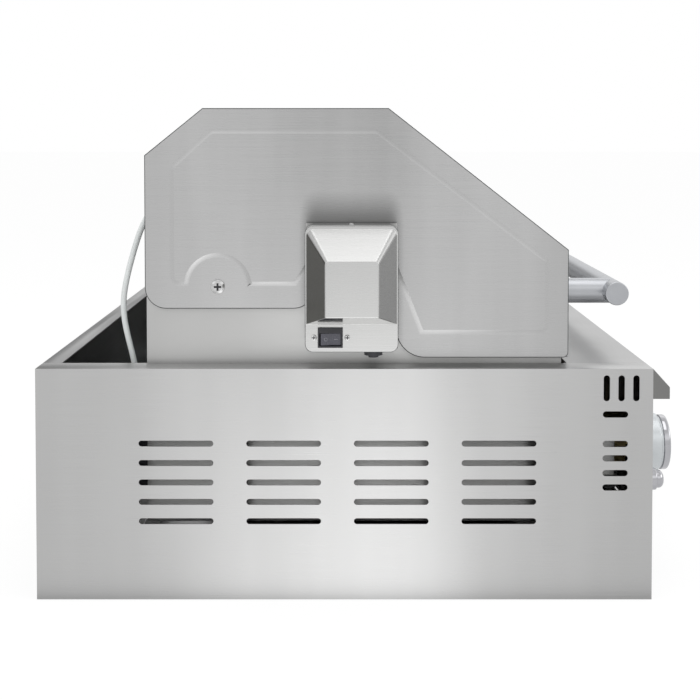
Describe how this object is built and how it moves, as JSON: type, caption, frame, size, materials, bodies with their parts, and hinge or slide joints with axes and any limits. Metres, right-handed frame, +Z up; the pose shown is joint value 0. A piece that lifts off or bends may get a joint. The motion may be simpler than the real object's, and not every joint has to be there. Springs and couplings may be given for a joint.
{
  "type": "built-in gas grill",
  "caption": "Built-in gas grill with louvred steel cabinet, hinged stamped hood, burners and grates, rotisserie motor and spit, drip tray, knobs and lamp cable.",
  "frame": {"origin": "centre of the cabinet's underside", "axes": "+X across the width, to the right as seen from the front; -Y towards the front; +Z up"},
  "size_m": [0.876, 0.634, 0.4555],
  "materials": {
    "brushed_panel": "brushed along the panel, with the side's sheen smeared upwards",
    "hood_steel": "fine brushed stainless",
    "inner_steel": "plain mill-finish stainless",
    "tray_steel": "brushed front, plain pan",
    "handle_satin": "satin",
    "knob_satin": "pearl satin body with a bright ring",
    "chrome": "polished",
    "grate_steel": "round polished bars",
    "burner_steel": "plain stainless",
    "pipe_metal": "drawn tube",
    "valve_brass": "cast and turned",
    "ceramic": "glazed ceramic",
    "motor_steel": "stamped satin stainless",
    "black_plastic": "moulded",
    "rocker_plastic": "moulded, semi-gloss",
    "needle_red": "painted",
    "lamp_glass": "frosted lens",
    "cable_jacket": "soft silicone jacket"
  },
  "bodies": {
    "cabinet": {"left_side_panel": "brushed_panel", "right_side_panel": "brushed_panel", "back_panel": "brushed_panel", "base_pan": "inner_steel", "front_ledge": "brushed_panel", "control_panel": "brushed_panel", "firebox_left_wall": "inner_steel", "firebox_right_wall": "inner_steel", "firebox_front_wall": "inner_steel", "firebox_rear_wall": "inner_steel", "rear_burner": "burner_steel", "rear_burner_pipe": "pipe_metal", "main_burners": "burner_steel", "igniter_electrodes": "ceramic", "flame_tamers": "burner_steel", "cooking_grates": "grate_steel", "warming_rack": "grate_steel", "gas_manifold": "pipe_metal", "gas_valves": "valve_brass", "knob_bezels": "chrome", "button_collar": "chrome", "tray_rails": "inner_steel", "hinge_screws": "chrome", "motor_bracket": "inner_steel", "motor_back_plate": "inner_steel", "motor_gearbox": "motor_steel", "motor_cover": "motor_steel", "motor_cord_gland": "black_plastic", "motor_switch_frame": "black_plastic", "small_screws": "chrome", "light_driver_box": "black_plastic", "cable_grommet": "black_plastic", "hood_light_cable": "cable_jacket"},
    "hood": {"hood_left_side": "hood_steel", "hood_right_side": "hood_steel", "hood_skin": "hood_steel", "hood_liner": "inner_steel", "handle_tube": "handle_satin", "handle_posts": "handle_satin", "hood_lights": "lamp_glass", "thermometer_case": "chrome", "hood_cable_gland": "black_plastic"},
    "thermometer_needle": {"thermometer_needle": "needle_red"},
    "drip_tray": {"drip_tray": "tray_steel"},
    "light_button": {"light_button": "chrome"},
    "switch_rocker": {"switch_rocker": "rocker_plastic"},
    "spit": {"drive_socket": "grate_steel", "spit_rod": "grate_steel", "spit_handle": "black_plastic", "spit_forks": "grate_steel"},
    "valve_stem_1": {"valve_stem_1": "valve_brass"},
    "knob_1": {"knob_1": "knob_satin"},
    "valve_stem_2": {"valve_stem_2": "valve_brass"},
    "knob_2": {"knob_2": "knob_satin"},
    "valve_stem_3": {"valve_stem_3": "valve_brass"},
    "knob_3": {"knob_3": "knob_satin"},
    "valve_stem_4": {"valve_stem_4": "valve_brass"},
    "knob_4": {"knob_4": "knob_satin"},
    "valve_stem_5": {"valve_stem_5": "valve_brass"},
    "knob_5": {"knob_5": "knob_satin"}
  },
  "joints": [
    {"name": "hood_hinge", "type": "hinge", "parent": "cabinet", "child": "hood", "pos_m": [0, 0.1185, 0.2884], "axis": [-1, 0, 0], "range_deg": [0, 85], "deforming": ["hood_light_cable"]},
    {"name": "tray_slide", "type": "slide", "parent": "cabinet", "child": "drip_tray", "axis": [0, -1, 0], "range_m": [0, 0.42]},
    {"name": "light_button_push", "type": "slide", "parent": "cabinet", "child": "light_button", "axis": [0, 1, 0], "range_m": [0, 0.004], "stiffness_N_per_m": 600, "springref_m": -0.003},
    {"name": "switch_rocker_tilt", "type": "hinge", "parent": "cabinet", "child": "switch_rocker", "pos_m": [-0.3925, 0.0126, 0.245], "axis": [0, 0, -1], "range_deg": [0, 14]},
    {"name": "spit_spin", "type": "hinge", "parent": "cabinet", "child": "spit", "pos_m": [0, -0.007, 0.3], "axis": [1, 0, 0], "continuous": true},
    {"name": "thermometer_needle_turn", "type": "hinge", "parent": "hood", "child": "thermometer_needle", "pos_m": [0, -0.12595, 0.3892], "axis": [0, -0.6175, 0.7866], "range_deg": [-250, 0]},
    {"name": "knob_1_push", "type": "slide", "parent": "cabinet", "child": "valve_stem_1", "axis": [0, 1, 0], "range_m": [0, 0.003], "stiffness_N_per_m": 1500, "springref_m": -0.003},
    {"name": "knob_1_turn", "type": "hinge", "parent": "valve_stem_1", "child": "knob_1", "pos_m": [-0.282, -0.321, 0.123], "axis": [0, -1, 0], "range_deg": [0, 215]},
    {"name": "knob_2_push", "type": "slide", "parent": "cabinet", "child": "valve_stem_2", "axis": [0, 1, 0], "range_m": [0, 0.003], "stiffness_N_per_m": 1500, "springref_m": -0.003},
    {"name": "knob_2_turn", "type": "hinge", "parent": "valve_stem_2", "child": "knob_2", "pos_m": [-0.094, -0.321, 0.123], "axis": [0, -1, 0], "range_deg": [0, 215]},
    {"name": "knob_3_push", "type": "slide", "parent": "cabinet", "child": "valve_stem_3", "axis": [0, 1, 0], "range_m": [0, 0.003], "stiffness_N_per_m": 1500, "springref_m": -0.003},
    {"name": "knob_3_turn", "type": "hinge", "parent": "valve_stem_3", "child": "knob_3", "pos_m": [0, -0.321, 0.123], "axis": [0, -1, 0], "range_deg": [0, 90]},
    {"name": "knob_4_push", "type": "slide", "parent": "cabinet", "child": "valve_stem_4", "axis": [0, 1, 0], "range_m": [0, 0.003], "stiffness_N_per_m": 1500, "springref_m": -0.003},
    {"name": "knob_4_turn", "type": "hinge", "parent": "valve_stem_4", "child": "knob_4", "pos_m": [0.094, -0.321, 0.123], "axis": [0, -1, 0], "range_deg": [0, 215]},
    {"name": "knob_5_push", "type": "slide", "parent": "cabinet", "child": "valve_stem_5", "axis": [0, 1, 0], "range_m": [0, 0.003], "stiffness_N_per_m": 1500, "springref_m": -0.003},
    {"name": "knob_5_turn", "type": "hinge", "parent": "valve_stem_5", "child": "knob_5", "pos_m": [0.282, -0.321, 0.123], "axis": [0, -1, 0], "range_deg": [0, 215]}
  ]
}
